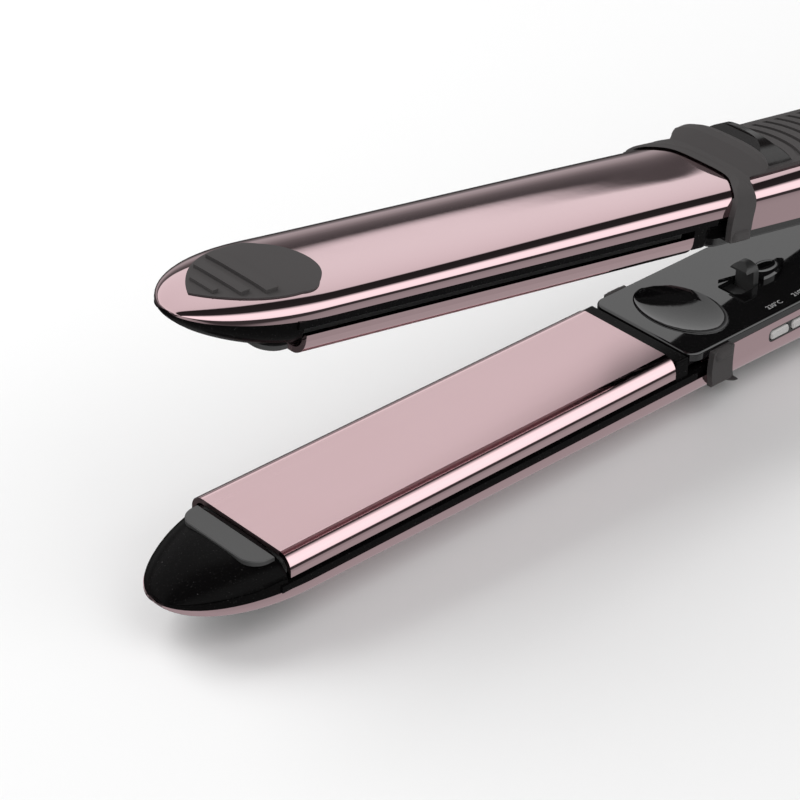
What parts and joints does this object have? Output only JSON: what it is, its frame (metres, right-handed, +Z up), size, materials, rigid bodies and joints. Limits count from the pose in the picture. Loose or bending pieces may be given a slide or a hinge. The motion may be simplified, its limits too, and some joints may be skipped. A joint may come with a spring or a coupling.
{
  "type": "hair straightener",
  "caption": "Open hinged flat iron for straightening hair, with floating heating plates, side keys, a sliding lock hook and a turning cord inlet.",
  "frame": {"origin": "centre of the bounding box at its bottom, under the lower arm's finger collar", "axes": "+X from the nose to the hinge and cord inlet, +Y across to the side without keys, +Z up, away from the lower plate's face"},
  "size_m": [0.2968, 0.0356, 0.0784],
  "materials": {
    "rose_shell": "mirror gloss rose",
    "rose_plate": "satin rose coating",
    "gloss_black": "gloss",
    "satin_black": "satin",
    "soft_black": "soft matte",
    "silicone": "satin",
    "ceramic": "fired ceramic look",
    "insulator": "matte",
    "steel": "brushed",
    "sensor_glass": "gloss",
    "lead_sleeve": "woven sleeve",
    "circuit_board": "board lacquer",
    "silver_key": "silver satin"
  },
  "bodies": {
    "lower_arm": {"control_board": "circuit_board", "hinge_spring": "steel", "key_bezel": "satin_black", "key_board": "circuit_board", "lock_cowl": "gloss_black", "lower_cover_screws": "steel", "lower_finger_collar": "soft_black", "lower_grip_pad": "soft_black", "lower_handle_cover": "gloss_black", "lower_heat_shield": "steel", "lower_heater_leads": "lead_sleeve", "lower_hinge_barrel": "satin_black", "lower_nose_contact_pad": "silicone", "lower_nose_thumb_pad": "soft_black", "lower_plate_bumpers": "silicone", "lower_plate_frame": "gloss_black", "lower_shell": "rose_shell", "lower_terminal_block": "insulator", "lower_thumb_ridge": "gloss_black"},
    "upper_arm": {"hinge_cap_far": "satin_black", "hinge_cap_near": "satin_black", "hinge_pin": "steel", "lock_catch": "steel", "upper_cover_screws": "steel", "upper_finger_collar": "soft_black", "upper_grip_pad": "soft_black", "upper_handle_cover": "gloss_black", "upper_heat_shield": "steel", "upper_heater_leads": "lead_sleeve", "upper_hinge_fork": "satin_black", "upper_nose_contact_pad": "silicone", "upper_nose_thumb_pad": "soft_black", "upper_plate_bumpers": "silicone", "upper_plate_frame": "gloss_black", "upper_shell": "rose_shell", "upper_terminal_block": "insulator", "upper_thumb_ridge": "gloss_black"},
    "lower_plate": {"lower_plate": "rose_plate", "lower_heater": "ceramic", "lower_plate_carrier": "insulator", "lower_temperature_sensor": "sensor_glass"},
    "upper_plate": {"upper_plate": "rose_plate", "upper_heater": "ceramic", "upper_plate_carrier": "insulator", "upper_temperature_sensor": "sensor_glass"},
    "lock_slider": {"lock_hook": "satin_black", "lock_knob": "satin_black"},
    "cord_swivel": {"cord_inlet_sleeve": "satin_black", "cord_inlet_ring": "steel"},
    "key_1_body": {"key_1": "silver_key"},
    "key_2_body": {"key_2": "silver_key"},
    "key_3_body": {"key_3": "silver_key"},
    "key_4_body": {"key_4": "silver_key"},
    "key_5_body": {"key_5": "silver_key"},
    "key_6_body": {"key_6": "silver_key"}
  },
  "joints": [
    {"name": "arm_hinge", "type": "hinge", "parent": "lower_arm", "child": "upper_arm", "pos_m": [0.11943, 0, 0.0196], "axis": [0, -1, 0], "range_deg": [0, 10.4], "stiffness_Nm_per_rad": 1, "springref_deg": -20.05},
    {"name": "lower_plate_float", "type": "slide", "parent": "lower_arm", "child": "lower_plate", "axis": [0, 0, -1], "range_m": [0, 0.0008], "stiffness_N_per_m": 2500, "springref_m": -0.0004},
    {"name": "upper_plate_float", "type": "slide", "parent": "upper_arm", "child": "upper_plate", "axis": [0.1805, 0, 0.9836], "range_m": [0, 0.0008], "stiffness_N_per_m": 2500, "springref_m": -0.0004},
    {"name": "lock_slide", "type": "slide", "parent": "lower_arm", "child": "lock_slider", "axis": [-1, 0, 0], "range_m": [0, 0.0035]},
    {"name": "cord_swivel_turn", "type": "hinge", "parent": "lower_arm", "child": "cord_swivel", "pos_m": [0.14142, 0, 0.0196], "axis": [1, 0, 0], "continuous": true},
    {"name": "key_1_press", "type": "slide", "parent": "lower_arm", "child": "key_1_body", "axis": [0, 1, 0], "range_m": [0, 0.0005], "stiffness_N_per_m": 400, "springref_m": -0.0005},
    {"name": "key_2_press", "type": "slide", "parent": "lower_arm", "child": "key_2_body", "axis": [0, 1, 0], "range_m": [0, 0.0005], "stiffness_N_per_m": 400, "springref_m": -0.0005},
    {"name": "key_3_press", "type": "slide", "parent": "lower_arm", "child": "key_3_body", "axis": [0, 1, 0], "range_m": [0, 0.0005], "stiffness_N_per_m": 400, "springref_m": -0.0005},
    {"name": "key_4_press", "type": "slide", "parent": "lower_arm", "child": "key_4_body", "axis": [0, 1, 0], "range_m": [0, 0.0005], "stiffness_N_per_m": 400, "springref_m": -0.0005},
    {"name": "key_5_press", "type": "slide", "parent": "lower_arm", "child": "key_5_body", "axis": [0, 1, 0], "range_m": [0, 0.0005], "stiffness_N_per_m": 400, "springref_m": -0.0005},
    {"name": "key_6_press", "type": "slide", "parent": "lower_arm", "child": "key_6_body", "axis": [0, 1, 0], "range_m": [0, 0.0005], "stiffness_N_per_m": 400, "springref_m": -0.0005}
  ]
}
